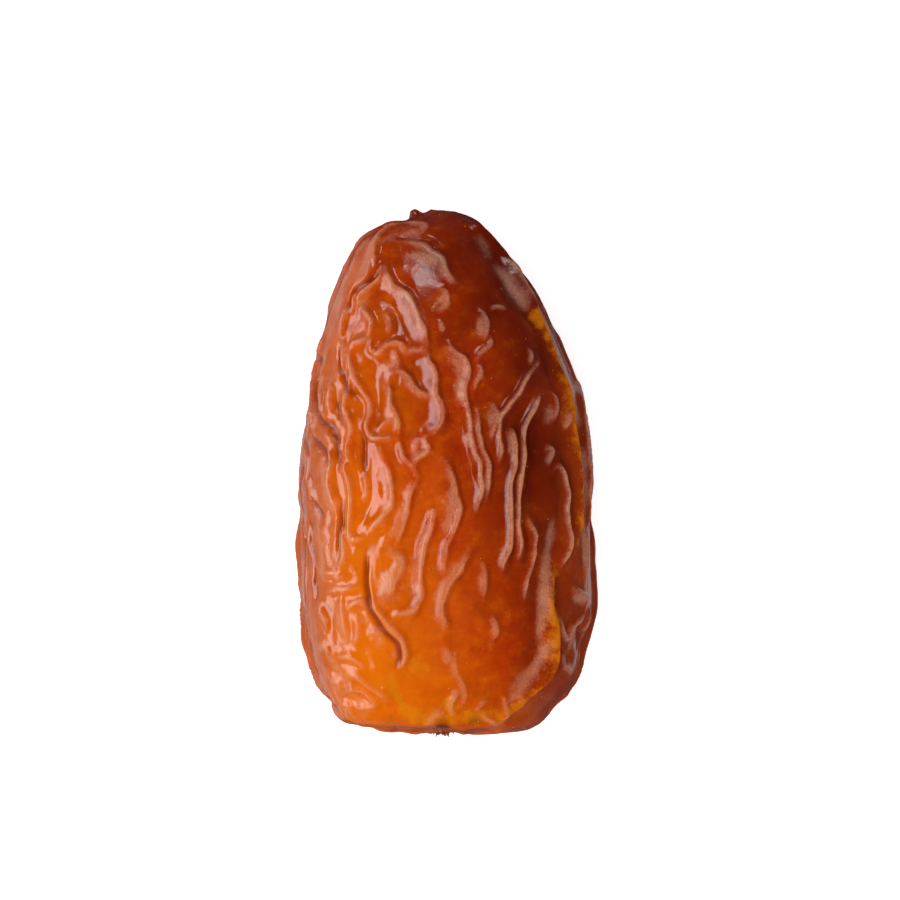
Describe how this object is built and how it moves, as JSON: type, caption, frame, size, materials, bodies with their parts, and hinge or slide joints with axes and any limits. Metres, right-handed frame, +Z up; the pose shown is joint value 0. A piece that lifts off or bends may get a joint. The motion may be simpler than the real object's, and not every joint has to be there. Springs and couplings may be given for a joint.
{
  "type": "sagai date",
  "caption": "Dried date lying on its side, with glossy wrinkled skin, a small dry tip at the narrow end and a torn stalk scar at the blunt end.",
  "frame": {"origin": "on the surface the date lies on, under the middle of its bounding box", "axes": "+Y runs along the date from its stalk scar to its tip, +Z is up, away from the surface it lies on, and +X is to the right seen from above with the tip away"},
  "size_m": [0.0228, 0.04, 0.02],
  "materials": {
    "date_skin": "glossy, slightly translucent wrinkled fruit skin, orange-brown with amber folds"
  },
  "bodies": {
    "root": {"date": "date_skin"}
  },
  "joints": []
}
